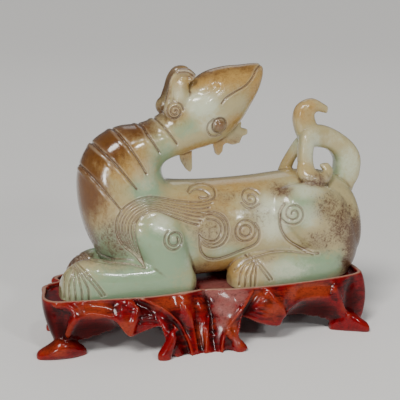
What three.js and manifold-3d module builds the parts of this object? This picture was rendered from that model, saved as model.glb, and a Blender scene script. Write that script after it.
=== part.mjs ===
// A jade beast lying with its head thrown back over its body, on its own carved hardwood stand.
// Millimetres, +Z up. The chest is at -X, the rump at +X, and -Y is the side that is seen first.
// The origin is on the ground under the middle of the stand.
import * as THREE from 'three';
import { ParametricGeometry } from 'three/addons/geometries/ParametricGeometry.js';
import { mergeVertices } from 'three/addons/utils/BufferGeometryUtils.js';
import Module from 'manifold-3d';

const wasm = await Module();
wasm.setup();

// Driving dimensions.
const rimHeight = 30;
const trayFloor = 27.7;
const trayUnderside = 24.3;
const rimWidth = 2.4;
const seatGap = 0.3;
const jadeBase = trayFloor + seatGap;
const grooveRadius = 0.9;
const bandWidth = 1.2;
const bandDepth = 1.1;
const clawDepth = 0.9;
const beardThickness = 3.2;
const cornerStep = 0.004;
const farEarShift = 1.6;
const apronDepth = 7.5;
const endShare = 0.35;
const ridgeRadius = 1.1;
const farSetback = 11.5;
const farNarrowing = 0.4;
const farForelegHeight = 0.95;
const farForelegShift = 6.4;
const toMiddleX = -3.35;
const toMiddleY = 1.06;
const near = -1;
const far = 1;

// Closed mesh to solid: shared corners merged, and the flat triangles at the poles dropped.
function solid(geometry) {
  const bare = new THREE.BufferGeometry();
  bare.setAttribute('position', geometry.getAttribute('position'));
  if (geometry.index) bare.setIndex(geometry.index);
  const merged = mergeVertices(bare, 1e-4);
  const corners = merged.index.array;
  const kept = [];
  for (let i = 0; i < corners.length; i += 3) {
    const [a, b, c] = corners.slice(i, i + 3);
    if (a !== b && b !== c && c !== a) kept.push(a, b, c);
  }
  const places = new Float32Array(merged.attributes.position.array);
  const made = new wasm.Manifold(
    new wasm.Mesh({ numProp: 3, vertProperties: places, triVerts: new Uint32Array(kept) }),
  );
  if (made.volume() > 0) return made;
  for (let i = 0; i < kept.length; i += 3) [kept[i + 1], kept[i + 2]] = [kept[i + 2], kept[i + 1]];
  return new wasm.Manifold(
    new wasm.Mesh({ numProp: 3, vertProperties: places, triVerts: new Uint32Array(kept) }),
  );
}

// Solid to mesh. Corners are rounded to a small step so that no sliver of a cut is left over, and
// two faces that fall on each other back to back are both dropped.
function geometryOf(manifold) {
  const mesh = manifold.getMesh();
  const numbers = new Map();
  const places = [];
  const rounded = Array.from({ length: mesh.numVert }, (_, i) => {
    const start = i * mesh.numProp;
    const corner = [0, 1, 2].map((k) => Math.round(mesh.vertProperties[start + k] / cornerStep) * cornerStep);
    const key = corner.map((value) => value.toFixed(4)).join(' ');
    if (!numbers.has(key)) {
      numbers.set(key, places.length / 3);
      places.push(...corner);
    }
    return numbers.get(key);
  });
  const faces = new Map();
  for (let i = 0; i < mesh.triVerts.length; i += 3) {
    const face = [0, 1, 2].map((k) => rounded[mesh.triVerts[i + k]]);
    if (new Set(face).size < 3) continue;
    const key = [...face].sort((a, b) => a - b).join(' ');
    if (faces.has(key)) faces.delete(key);
    else faces.set(key, face);
  }
  const geometry = new THREE.BufferGeometry();
  geometry.setAttribute('position', new THREE.BufferAttribute(new Float32Array(places), 3));
  geometry.setIndex([...faces.values()].flat());
  return geometry;
}

const joined = (solids) => solids.reduce((sum, next) => sum.add(next));

// A form as a carver draws it on the block: two edges in the side view, then a depth across.
// Each station is [x, z of one edge, x, z of the other edge, y of the middle, half depth].
function form(stations, { sides = 14, rings = stations.length * 2, square = 2, inset = 0 } = {}) {
  const edgeA = new THREE.CatmullRomCurve3(stations.map((s) => new THREE.Vector3(s[0], s[4], s[1])));
  const edgeB = new THREE.CatmullRomCurve3(stations.map((s) => new THREE.Vector3(s[2], s[4], s[3])));
  const depth = new THREE.SplineCurve(stations.map((s, i) => new THREE.Vector2(i, s[5])));
  const across = new THREE.Vector3(0, 1, 0);
  const surface = (u, v, target) => {
    const t = THREE.MathUtils.clamp((v * (rings + 2) - 1) / rings, 0, 1);
    const a = edgeA.getPoint(t);
    const b = edgeB.getPoint(t);
    const middle = a.clone().add(b).multiplyScalar(0.5);
    const open = v > 0 && v < 1 ? 1 : 0;
    const turn = u * 2 * Math.PI;
    const up = Math.sign(Math.cos(turn)) * Math.abs(Math.cos(turn)) ** (2 / square);
    const out = Math.sign(Math.sin(turn)) * Math.abs(Math.sin(turn)) ** (2 / square);
    const toEdge = a.sub(middle);
    toEdge.setLength(Math.max(toEdge.length() - inset, 0.2));
    target.copy(middle);
    target.addScaledVector(toEdge, open * up);
    target.addScaledVector(across, open * out * Math.max(depth.getPoint(t).y - inset, 0.2));
  };
  return solid(new ParametricGeometry(surface, sides, rings + 2));
}

const mirrored = (stations, shift = 0, y = (v) => -v) =>
  stations.map(([ax, az, bx, bz, middle, w]) => [ax + shift, az, bx + shift, bz, y(middle), w]);

// Rump, back, chest, neck and head are one sweep. The first edge runs along the back and up the
// inside of the neck to the jaw, the second along the belly, up the chest and over the nose.
const trunkStations = [
  [93, 54, 93, 44, 0, 5],
  [91, 66, 92, 37, 0, 16],
  [86, 76, 86.6, 31.4, 0, 22],
  [74, 82, 76, 26, 0, 24],
  [56, 83, 56, 28, 0, 24.5],
  [34, 81.5, 34, 30.5, 0, 24],
  [12, 81, 10, 30.5, 0, 23.5],
  [-4, 81.5, -12, 30, 0, 24.5],
  [-13, 82.5, -34, 31, 0, 25],
  [-16, 84, -48, 40, 0, 24],
  [-17, 85.5, -56, 53, 0, 22.5],
  [-17.4, 87, -60.5, 67, 0, 20.5],
  [-17.6, 88.5, -62, 80, 0, 19],
  [-17.4, 90, -61, 91, 0, 17.5],
  [-16.6, 91.5, -56.5, 101, 0, 16.5],
  [-15, 93, -49, 108, 0, 15.5],
  [-11.5, 94.5, -39, 112, 0, 14.5],
  [-6, 96, -28, 113, 0, 13.5],
  [1, 98, -18, 117, 0, 13],
  [8, 99.5, -9, 126, 0, 13.5],
  [14, 102, -1, 133, 0, 14],
  [20, 106, 7, 138.5, 0, 13.5],
  [26, 112, 17, 141, 0, 12],
  [31, 119.5, 26, 141.5, 0, 9.5],
  [35.5, 127, 32, 142, 0, 7],
  [38, 134, 36, 142, 0, 4.6],
  [38.6, 139, 37.4, 141.4, 0, 2.6],
];

const upperArmStations = [
  [-34, 70, -22, 72, -17, 3],
  [-40, 65, -13, 67, -18.4, 7.6],
  [-39, 57, -9.5, 59, -19, 9.6],
  [-33, 46, -8, 47, -19.5, 9.6],
  [-29, 34, -5.4, 35, -19.5, 9.5],
  [-28, 26, -7, 26, -19.5, 8.5],
];

const forearmStations = [
  [-4.6, 36, -5.2, 28, -19.5, 5],
  [-11, 45, -11, 22, -19.5, 9],
  [-28, 46, -28, 21, -19.5, 9.5],
  [-46, 46, -46, 21, -19.3, 9.5],
  [-57, 47.4, -57, 21, -18.5, 9.8],
  [-64, 46.6, -64, 21, -17.5, 9.8],
  [-69.6, 43.6, -70.6, 21, -17, 9],
  [-73.2, 39.4, -74.4, 23, -16.5, 7.5],
  [-75, 35, -75.6, 27, -16.5, 4.5],
];

const thighStations = [
  [38, 64, 44, 60, -16, 5],
  [40, 74, 48, 51, -16.5, 9],
  [50, 79, 58, 42, -17, 11],
  [66, 78, 70, 32, -16.5, 11.5],
  [79, 72, 82, 29, -14.5, 11],
  [86.5, 63, 88, 33, -11.5, 8.5],
  [90, 54, 91, 42, -9, 5],
];

const shankStations = [
  [14, 34, 14, 27, -20.5, 5],
  [17, 40, 16, 22, -20.5, 8.5],
  [24, 44, 24, 21, -20.5, 9.8],
  [36, 45.5, 36, 21, -20, 10],
  [54, 46, 54, 21, -19, 10.3],
  [70, 47, 70, 21, -16.5, 10.3],
  [81, 46, 79, 21, -12.5, 9.5],
  [89, 41, 84, 24, -8, 7],
];

// The tail rises from the rump, bends forward in a ring and comes down in two branches; a third
// one makes the free curl on top.
const tailStations = [
  [91, 60, 78, 60, 0, 7],
  [91.5, 71, 80.3, 74, 0, 7],
  [95.3, 78, 81.3, 82, 0, 6.6],
  [96.3, 87, 81.3, 87.5, 0, 6.4],
  [93.6, 94, 79, 91.4, 0, 6.2],
  [87.4, 100.3, 75.5, 94, 0, 6],
  [78.4, 105.7, 71.6, 95, -0.5, 5.6],
  [70.6, 107.8, 68.6, 95.6, -2, 5.2],
  [63.6, 107, 66.6, 95.6, -4, 4.8],
  [58.8, 102.6, 65.6, 94, -6, 4.6],
  [57, 94, 65, 90, -7.5, 4.4],
  [56.8, 86, 65.2, 84, -9.5, 4.4],
];

// The near branch ends in a hook that lies on the flank and turns up again to a small cusp.
const hookStations = [
  [56.8, 90, 65, 90, -8.5, 4],
  [54.8, 85, 64.6, 86.4, -12, 4.4],
  [56, 80.6, 65.4, 85, -14.5, 4.6],
  [62, 76.8, 67, 84.2, -15.5, 4.6],
  [69.6, 77.4, 69, 84.6, -15, 4.4],
  [73.6, 80.2, 69.4, 85, -13, 4],
  [75.6, 84.4, 68.4, 86.4, -11.5, 3.6],
  [73, 88.4, 68, 87.6, -11, 2],
];

const farBranchStations = [
  [66, 104, 70, 96, 2, 4],
  [61, 99.5, 66.5, 94, 5, 4.2],
  [57.6, 92.5, 62.5, 89, 8, 4.2],
  [54, 85, 60.5, 83, 10, 4.2],
  [52, 78, 60, 76, 12, 4.2],
];

const topCurlStations = [
  [60.5, 98, 72.5, 103, -1, 5],
  [57.6, 105, 70.5, 107, -0.5, 5],
  [56.6, 111.5, 69.2, 110, 0, 5],
  [58.2, 117.4, 68.6, 113, 0, 4.8],
  [62.5, 120.8, 69.6, 114.4, 0, 4.6],
  [68.4, 121.8, 71.6, 114.4, 0, 4.2],
  [76, 117.6, 75.4, 113.4, 0, 3.6],
];

// One ear of the pair: a curl at the nape, a thick lobe and a hooked tip over the brow.
const earStations = [
  [-17, 119, -8, 117, -7.5, 3],
  [-17.2, 124, -6, 121, -7.5, 3.8],
  [-15.2, 130.4, -4, 126, -7, 3.6],
  [-13.4, 136.4, -3.4, 129, -6.5, 3.4],
  [-9.6, 141, -4, 131.8, -6, 3.2],
  [-4, 141.4, -3.4, 133.8, -6, 3],
  [0.2, 138.2, -2.4, 134.6, -6, 2.4],
];

const points = (pairs) => pairs.map(([x, z]) => new THREE.Vector2(x, z));

const smooth = (pairs, count) => new THREE.SplineCurve(points(pairs)).getPoints(count);

// A coil seen from the side, wound inwards from its start angle.
function coil([x, z], radius, turns, start = 0, inner = 0.25) {
  const steps = Math.ceil(turns * 7);
  return Array.from({ length: steps + 1 }, (_, i) => {
    const t = i / steps;
    const angle = start + t * turns * 2 * Math.PI;
    const reach = radius * (1 - (1 - inner) * t);
    return new THREE.Vector2(x + reach * Math.cos(angle), z + reach * Math.sin(angle));
  });
}

// Moves a side-view line sideways by a distance, to make a line parallel to it.
function beside(line, distance) {
  return line.map((p, i) => {
    const along = line[Math.min(i + 1, line.length - 1)].clone().sub(line[Math.max(i - 1, 0)]).normalize();
    return new THREE.Vector2(p.x - along.y * distance, p.y + along.x * distance);
  });
}

// Lines of the carving in the side view, worn into both flanks.
const shoulderPoints = [[-34, 46], [-45, 60], [-47.5, 71], [-43, 79], [-33, 82.5], [-18, 78.5], [-5, 74.5]];
const shoulderLine = smooth(shoulderPoints, 9);
const wingLine = smooth([[-5, 54], [-3, 48.5], [4, 45], [15, 47], [27, 50.5], [37, 60]], 7);
const thighLine = smooth([[41, 70], [40.5, 62], [44, 54], [51, 49], [60, 44.5]], 5);
const hookLine = smooth([[-12, 80], [-6, 75.5], [1, 75.6], [4, 79], [0, 82.5]], 5);
const carvedLines = [
  shoulderLine,
  beside(shoulderLine, 3),
  wingLine,
  thighLine,
  hookLine,
  coil([-19, 58], 5.4, 1.3, 2.4),
  coil([2, 61], 8.6, 1.3, 2.2, 0.3),
  coil([22, 77], 5, 1.2, 3.4),
  coil([20, 58], 5, 1.2, 0.6),
  coil([48, 66], 6, 1.4, 2.6),
];

// The far flank is plainer: one line round the shoulder, one down the thigh, and two coils.
const farCarving = [shoulderLine, thighLine, coil([2, 61], 8.6, 1, 2.2, 0.3), coil([48, 66], 6, 1, 2.6)];

// The mouth and the curl at the nape are on the head; the head is narrower than the body.
const headLines = [
  smooth([[37.6, 141.4], [33.1, 139.4], [28.8, 133.1], [23.9, 129.6], [14, 125.3]], 5),
  coil([-12.8, 121.4], 4.6, 1.3, 3.6),
];

function projected(line, target, side) {
  const caster = new THREE.Raycaster();
  const hits = line.map((p) => {
    caster.set(new THREE.Vector3(p.x, side * 90, p.y), new THREE.Vector3(0, -side, 0));
    return caster.intersectObject(target)[0]?.point;
  });
  return hits.filter(Boolean);
}

// A bar of square section along a line, half of it above the surface and half below.
function bar(path, radius = grooveRadius) {
  const corners = Array.from({ length: 4 }, (_, i) => {
    const angle = (i * Math.PI) / 2;
    return new THREE.Vector2(radius * Math.cos(angle), radius * Math.sin(angle));
  });
  const extrudePath = new THREE.CatmullRomCurve3(path);
  const shape = new THREE.Shape(corners);
  const options = { steps: path.length - 1, bevelEnabled: false, extrudePath };
  return solid(new THREE.ExtrudeGeometry(shape, options));
}

// A thin upright blade between two points of the side view, cut across a form.
function blade([ax, az], [bx, bz], y0, y1, width) {
  const length = Math.hypot(bx - ax, bz - az);
  const box = new THREE.BoxGeometry(length, y1 - y0, width);
  box.rotateY(-Math.atan2(bz - az, bx - ax));
  box.translate((ax + bx) / 2, (y0 + y1) / 2, (az + bz) / 2);
  return solid(box);
}

// Bands round the outside of the neck, each a straight cut from the outline to the side.
const neckBands = [
  [[-64.5, 98.4], [-42.6, 71.3]],
  [[-60.4, 110.4], [-34, 83.1]],
  [[-46.4, 115.5], [-26.9, 88]],
  [[-31.5, 116.6], [-22.4, 101]],
  [[-24.2, 119.1], [-12.2, 104.3]],
];

const forePaw = { apex: [-66, 50], wrist: [[-66, 50], [-53, 30]], toes: [[-80, 36], [-78, 28], [-70, 26]] };
const hindPaw = { apex: [25, 45.5], wrist: [[25, 45.5], [34, 30]], toes: [[11, 36], [12, 28], [20, 26]] };

// Claws spread from one point on top of the paw; the wrist line closes them off behind.
function clawBlades(paw, y0, y1, shift = 0) {
  const moved = ([x, z]) => [x + shift, z];
  const cuts = paw.toes.map((toe) => blade(moved(paw.apex), moved(toe), y0, y1, 0.9));
  cuts.push(blade(moved(paw.wrist[0]), moved(paw.wrist[1]), y0, y1, 1.1));
  return joined(cuts);
}

// The beard is a thin scalloped fin under the jaw, and one tuft hangs from the neck.
const beardOutline = [
  [20, 112], [24.5, 114], [27, 110.9], [26.6, 108], [30.6, 107.2], [30.4, 104.3], [27.4, 103.4],
  [25.9, 99.9], [22, 99], [18.7, 100.2], [17, 99.6], [16.4, 96], [14.3, 93.6], [12.6, 94.6], [10.6, 103],
];
const tuftOutline = [[-8, 98], [-6.4, 91.6], [-3.8, 87.4], [-1.6, 85.6], [-0.3, 87.8], [-0.6, 98]];

function fin(outline, thickness, bevel = 0.8) {
  const shape = new THREE.Shape(points(outline));
  const depth = thickness - 2 * bevel;
  const rounding = {
    bevelEnabled: true,
    bevelSegments: 1,
    bevelSize: bevel,
    bevelThickness: bevel,
    bevelOffset: -bevel,
  };
  const plate = new THREE.ExtrudeGeometry(shape, { depth, ...rounding });
  plate.rotateX(Math.PI / 2);
  plate.translate(0, thickness / 2 - bevel, 0);
  return solid(plate);
}

function ball(radius, [x, y, z], flat = [1, 1, 1], across = 8, down = 4) {
  const geometry = new THREE.SphereGeometry(radius, across, down);
  geometry.rotateX(Math.PI / 2);
  geometry.scale(...flat);
  geometry.translate(x, y, z);
  return solid(geometry);
}

function limbs() {
  const armOptions = { sides: 10, rings: 5, square: 2.3 };
  const legOptions = { sides: 8, rings: 7, square: 2.4 };
  // The far foreleg is lower and turns inwards, so its paw lies close beside the near one.
  const lowered = forearmStations.map(([ax, az, ...rest]) => [ax, az * farForelegHeight, ...rest]);
  const farForearm = mirrored(lowered, farForelegShift, (v) => -2.7 * v - 40.2);
  return {
    nearForearm: [forearmStations, legOptions],
    farForearm: [farForearm, legOptions],
    nearShank: [shankStations, legOptions],
    farShank: [mirrored(shankStations, 0, (v) => -v - 1.5), legOptions],
    nearArm: [upperArmStations, armOptions],
    farArm: [mirrored(upperArmStations, 2, (v) => -v - 5), armOptions],
    nearThigh: [thighStations, armOptions],
    farThigh: [mirrored(thighStations), armOptions],
  };
}

// Each form is cut with its own lines before it is joined to the others.
function carvedLimbs() {
  const claws = {
    nearForearm: [forePaw, -40, -15, 0],
    farForearm: [forePaw, -6, 6, farForelegShift],
    nearShank: [hindPaw, -40, -17, 0],
  };
  return Object.entries(limbs()).map(([name, [stations, options]]) => {
    const limb = form(stations, options);
    if (!claws[name]) return limb;
    const core = form(stations, { ...options, inset: clawDepth });
    return limb.subtract(clawBlades(...claws[name]).subtract(core));
  });
}

function bandedTrunk() {
  const options = { sides: 12, rings: 25, square: 2.2 };
  const bands = joined(neckBands.map(([outer, inner]) => blade(outer, inner, -30, 30, bandWidth)));
  const core = form(trunkStations, { ...options, inset: bandDepth });
  return form(trunkStations, options).subtract(bands.subtract(core));
}

function beast() {
  const parts = [
    bandedTrunk(),
    ...carvedLimbs(),
    form(tailStations, { sides: 8, rings: 13, square: 3 }),
    form(hookStations, { sides: 8, rings: 8 }),
    form(farBranchStations, { sides: 6, rings: 4 }),
    form(topCurlStations, { sides: 8, rings: 8, square: 2.6 }),
    fin(beardOutline, beardThickness),
    fin(tuftOutline, beardThickness),
  ];
  for (const side of [near, far]) {
    const ear = side === near ? earStations : mirrored(earStations, farEarShift);
    parts.push(form(ear, { sides: 6, rings: 7 }));
    parts.push(ball(4.8, [-12.8, side * 8.4, 121.4], [1, 0.75, 1]));
    parts.push(ball(4.4, [10.6, side * 11.4, 111.6], [1, 0.8, 1]));
  }
  let whole = joined(parts);
  const target = new THREE.Mesh(geometryOf(whole), new THREE.MeshBasicMaterial({ side: THREE.DoubleSide }));
  for (const side of [near, far]) {
    const lines = side === near ? carvedLines : farCarving;
    for (const line of [...lines, ...headLines]) whole = whole.subtract(bar(projected(line, target, side)));
  }
  const below = solid(new THREE.BoxGeometry(300, 200, 60).translate(0, 0, jadeBase - 30));
  return whole.subtract(below);
}

// Round the near half of the stand from the left end to the right one. Each row is
// [rim x, rim y, foot edge x, y, z, fold, hang]: fold swells or hollows the wall between the two,
// and hang is how far the back of the apron comes down below its front edge.
const apronRows = [
  [-81.5, 0, -80, 0, 17, 0, 0],
  [-83.6, -10, -80.5, -9, 15, 0.5, 0],
  [-85, -18, -80.5, -17, 11, 1.5, 2],
  [-84.4, -23.5, -78.6, -22, 5, 2, 2],
  [-82, -27, -77, -26.5, 3, 1.5, 2],
  [-79, -28.4, -74.8, -28.8, 4, 0.5, 3],
  [-75, -29.2, -74.3, -31.5, 13.5, 0.5, 6.5],
  [-70, -30.2, -69.8, -34, 21.6, 0, 13.4],
  [-64, -31, -63.5, -35, 23.8, -0.5, 13.8],
  [-57, -31.8, -56, -36, 22.7, -0.5, 10.4],
  [-51, -32.6, -49.8, -36.5, 19.2, 0.5, 4.6],
  [-46, -33.2, -44.8, -37.5, 11.2, 2, 0],
  [-40, -34, -37, -38.5, 13.4, 1.5, 0],
  [-36, -34.3, -29.5, -40, 15.6, 0.5, 0],
  [-34, -34.4, -26, -41.5, 11, 1.5, 0],
  [-31, -34.4, -25.5, -43.5, 4, 2.5, 0],
  [-27, -34.3, -21, -44.5, 0, 3, 0],
  [-20, -33.8, -15.5, -43.5, 0, -0.5, 0],
  [-14.5, -33.2, -11, -44, 0, 1, 0],
  [-10, -32.2, -7.6, -43, 0, -1, 0],
  [-6, -31.2, -4.2, -43.8, 0, 0.6, 0],
  [-2, -31.4, -1, -43, 0, -1.2, 0],
  [4, -32.6, 3, -44, 0, 0, 0],
  [12, -34.4, 9, -44.5, 0, 3, 0],
  [18, -35, 10.5, -43, 5, 3, 0],
  [21, -35.2, 11, -41, 12.5, 1.5, 0],
  [24, -35.3, 15, -39.5, 16, 0.5, 0],
  [29, -35.3, 24, -38.8, 12.2, 1, 0],
  [35.5, -35.2, 35.2, -38.6, 8.6, 2.5, 0],
  [40, -35.1, 39.4, -37.4, 13.6, 1, 2.6],
  [44, -35, 43.5, -36.8, 17.8, 0, 7.2],
  [50, -34.6, 49.5, -36.2, 21.2, -0.5, 10.8],
  [56.5, -34, 56.2, -35.8, 21.8, -0.5, 12],
  [63.5, -33, 63.5, -35.2, 20.4, 0, 12.4],
  [69.5, -32, 69, -34.4, 16, 0.5, 9.8],
  [74.5, -31, 73.5, -33.4, 9, 1, 5],
  [79, -30, 77, -32.5, 3, 0.5, 2],
  [84, -28.2, 83, -30.6, 3, 0, 2],
  [88.2, -24.8, 88, -26.6, 4, 2.5, 2],
  [89.4, -18, 89, -17.5, 9, 2.5, 2],
  [89.6, -9, 88.6, -9, 16, 1.5, 0],
  [89.2, 0, 87.8, 0, 17.5, 0.5, 0],
];

// The far paw lies behind the near one and close to it, so the far half of the stand grows shorter
// and narrower towards its left end.
function toFarSide(x, y) {
  const share = THREE.MathUtils.clamp((apronRows.at(-1)[0] - x) / 174, 0, 1) ** 3;
  return [x + farSetback * share, -y * (1 - farNarrowing * share)];
}

// The stand is one skin round its middle: tray floor, rim, folded wall, lower edge, hollow inside.
function apron() {
  const back = apronRows.slice(1, -1).reverse().map(([rx, ry, lx, ly, ...rest]) => {
    return [...toFarSide(rx, ry), ...toFarSide(lx, ly), ...rest];
  });
  const rows = [...apronRows, ...back];
  const around = rows.length;
  const rim = new THREE.CatmullRomCurve3(rows.map((r) => new THREE.Vector3(r[0], r[1], rimHeight)), true);
  const edge = new THREE.CatmullRomCurve3(rows.map((r) => new THREE.Vector3(r[2], r[3], r[4])), true);
  const shape = new THREE.CatmullRomCurve3(rows.map((r) => new THREE.Vector3(r[5], r[6], 0)), true);
  const middle = (rows[0][0] + apronRows.at(-1)[0]) / 2;
  const inwards = (p, distance) => {
    const across = (p.x - middle) * endShare;
    const step = distance / Math.hypot(across, p.y);
    return new THREE.Vector3(p.x - across * step, p.y - p.y * step, p.z);
  };
  const wallSteps = [0.38, 0.76];
  const wallShare = [0.8, 0.9];
  const section = (u) => {
    const r = rim.getPoint(u);
    const e = edge.getPoint(u);
    e.z = Math.max(e.z, 0);
    const { x: swell, y: hanging } = shape.getPoint(u);
    const behind = inwards(e, apronDepth);
    behind.z = Math.max(e.z - Math.max(hanging, 0), 0);
    const inner = inwards(r, rimWidth);
    const ring = [
      new THREE.Vector3(middle, 0, trayFloor),
      new THREE.Vector3(inner.x, inner.y, trayFloor),
      inner,
      r,
      ...wallSteps.map((t, i) => inwards(r.clone().lerp(e, t), -swell * wallShare[i])),
      e,
      behind,
    ];
    const under = inwards(r, apronDepth + 2);
    ring.push(new THREE.Vector3(under.x, under.y, Math.max(trayUnderside, e.z + 0.6)));
    ring.push(new THREE.Vector3(middle, 0, trayUnderside));
    return ring;
  };
  const rings = section(0).length - 1;
  const surface = (u, v, target) => target.copy(section(u % 1)[Math.round(v * rings)]);
  return solid(new ParametricGeometry(surface, around, rings));
}

// Shoes of the four corner legs and the toes on both sides of each wide middle leg.
const leftShoe = [
  [-64, 2.6, -64, -1, -25, 1.6],
  [-66.5, 5.5, -66.5, -1, -25.5, 3.4],
  [-72, 9.4, -72, -1, -27, 4.8],
  [-78, 10.4, -78, -1, -27, 5.4],
  [-84, 6.6, -84, -1, -26, 5],
  [-88, 4.2, -88, -1, -25.2, 3.6],
  [-89.6, 2.4, -89.6, -0.5, -25, 1.8],
];
const rightShoe = [
  [69, 4, 69, -1, -28, 1.8],
  [71, 7.4, 71, -1, -28.6, 3.4],
  [75, 10, 75, -1, -30.4, 4.8],
  [80, 10.6, 80, -1, -32.6, 5.4],
  [84.4, 7, 84.4, -1, -34.8, 4.8],
  [87, 5, 87, -1, -36, 3.6],
  [88.2, 3, 88.2, -0.5, -36.6, 1.8],
];
const leftToe = [
  [-19, 12, -19, 2, -42, 2],
  [-22, 13, -20, -1, -43, 4],
  [-27, 11, -24, -1, -44, 4.6],
  [-30.6, 6.4, -28, -1, -44.6, 4],
  [-32, 3, -31.4, -1, -45, 2],
];
const rightToe = [
  [3, 12, 3, 2, -42, 2],
  [6, 13, 4, -1, -43, 4],
  [11, 11, 8, -1, -44, 4.6],
  [14.6, 6.4, 12, -1, -44.6, 4],
  [16.4, 3, 15.8, -1, -45, 2],
];

// Ridges that sweep down the wide middle leg, in the side view.
const legRidges = [
  [[-36, 28.2], [-29.4, 25.6], [-21.2, 18.7], [-16, 10.7], [-13.1, 2.4]],
  [[20.4, 26.6], [12.1, 19.2], [7.9, 14.2], [5.5, 9.6], [2.8, 2.2]],
];

function ridge(line, target) {
  return bar(projected(smooth(line, 9), target, near), ridgeRadius);
}

function stand() {
  const shoes = [];
  for (const stations of [leftShoe, rightShoe, leftToe, rightToe]) {
    const farStations = stations.map(([ax, az, bx, bz, y, w]) => {
      const [farAx, farY] = toFarSide(ax, y);
      return [farAx, az, toFarSide(bx, y)[0], bz, farY, w];
    });
    shoes.push(form(stations, { sides: 8, rings: 5 }));
    shoes.push(form(farStations, { sides: 6, rings: 4 }));
  }
  const below = solid(new THREE.BoxGeometry(300, 200, 40).translate(0, 0, -20));
  const skin = apron();
  const target = new THREE.Mesh(geometryOf(skin), new THREE.MeshBasicMaterial({ side: THREE.DoubleSide }));
  return joined([skin, ...legRidges.map((line) => ridge(line, target)), ...shoes]).subtract(below);
}

const jade = new THREE.MeshStandardMaterial({ color: 0xa9b08c, roughness: 0.22, metalness: 0 });
const redWood = new THREE.MeshStandardMaterial({ color: 0x6e1f12, roughness: 0.25, metalness: 0 });

function node(name, manifold, material) {
  const mesh = new THREE.Mesh(geometryOf(manifold), material);
  mesh.name = name;
  return mesh;
}

const group = new THREE.Group();
group.add(node('jade_beast', beast(), jade));
group.add(node('carved_stand', stand(), redWood));
group.position.set(toMiddleX, toMiddleY, 0);

export default group;
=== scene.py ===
# A jade beast with its head thrown back, on its carved hardwood stand.
import math

import bpy
import numpy as np
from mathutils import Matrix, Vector


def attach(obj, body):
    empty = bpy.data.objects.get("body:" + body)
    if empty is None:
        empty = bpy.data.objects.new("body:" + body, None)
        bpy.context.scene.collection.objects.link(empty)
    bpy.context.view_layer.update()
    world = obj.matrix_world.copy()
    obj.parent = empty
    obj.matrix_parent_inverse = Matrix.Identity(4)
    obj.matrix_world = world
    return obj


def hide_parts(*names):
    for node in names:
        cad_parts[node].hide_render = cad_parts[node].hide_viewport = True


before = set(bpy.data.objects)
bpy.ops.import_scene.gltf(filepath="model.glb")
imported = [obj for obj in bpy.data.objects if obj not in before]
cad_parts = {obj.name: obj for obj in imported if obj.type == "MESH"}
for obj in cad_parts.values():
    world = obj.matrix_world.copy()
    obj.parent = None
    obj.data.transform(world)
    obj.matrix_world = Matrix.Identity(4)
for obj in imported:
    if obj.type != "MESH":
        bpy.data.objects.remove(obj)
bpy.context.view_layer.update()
mm = 0.001
middle = np.array([-3.35, 1.06, 0.0])  # mm, where the zero point of the tables below lies in the frame
near, far = -1, 1

print("helpers")


# Catmull-Rom from b to c
def bend(a, b, c, d, t):
    return 0.5 * (2 * b + (c - a) * t + (2 * a - 5 * b + 4 * c - d) * t**2 + (3 * b - a - 3 * c + d) * t**3)


# a smooth line through every column of a table
def spline(rows, count):
    rows = np.asarray(rows, float)
    padded = np.vstack([2 * rows[0] - rows[1], rows, 2 * rows[-1] - rows[-2]])
    at = np.linspace(0, len(rows) - 1, count)
    k = np.minimum(at.astype(int), len(rows) - 2)
    t = (at - k)[:, None]
    return bend(padded[k], padded[k + 1], padded[k + 2], padded[k + 3], t)


# the same, closed to a loop
def loopSpline(rows, count):
    rows = np.asarray(rows, float)
    at = np.arange(count) / count * len(rows)
    k = at.astype(int)
    t = (at - k)[:, None]
    return bend(*(rows[(k + s) % len(rows)] for s in (-1, 0, 1, 2)), t)


def perVertex(obj, what):
    values = np.empty(len(obj.data.vertices) * 3)
    obj.data.vertices.foreach_get(what, values)
    return values.reshape(-1, 3)


def places(obj):
    return perVertex(obj, "co")


def normals(obj):
    return perVertex(obj, "normal")


def moveTo(obj, co):
    obj.data.vertices.foreach_set("co", np.asarray(co, float).ravel())
    obj.data.update()


def alone(obj):
    bpy.ops.object.select_all(action="DESELECT")
    obj.select_set(True)
    bpy.context.view_layer.objects.active = obj


def modify(obj, kind, **settings):
    alone(obj)
    modifier = obj.modifiers.new(kind.lower(), kind)
    for key, value in settings.items():
        setattr(modifier, key, value)
    bpy.ops.object.modifier_apply(modifier=modifier.name)


def outwards(obj):
    alone(obj)
    bpy.ops.object.mode_set(mode="EDIT")
    bpy.ops.mesh.select_all(action="SELECT")
    bpy.ops.mesh.normals_make_consistent(inside=False)
    bpy.ops.object.mode_set(mode="OBJECT")


def joined(parts, name):
    bpy.ops.object.select_all(action="DESELECT")
    for part in parts:
        part.select_set(True)
    bpy.context.view_layer.objects.active = parts[0]
    bpy.ops.object.join()
    parts[0].name = name
    return parts[0]


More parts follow.
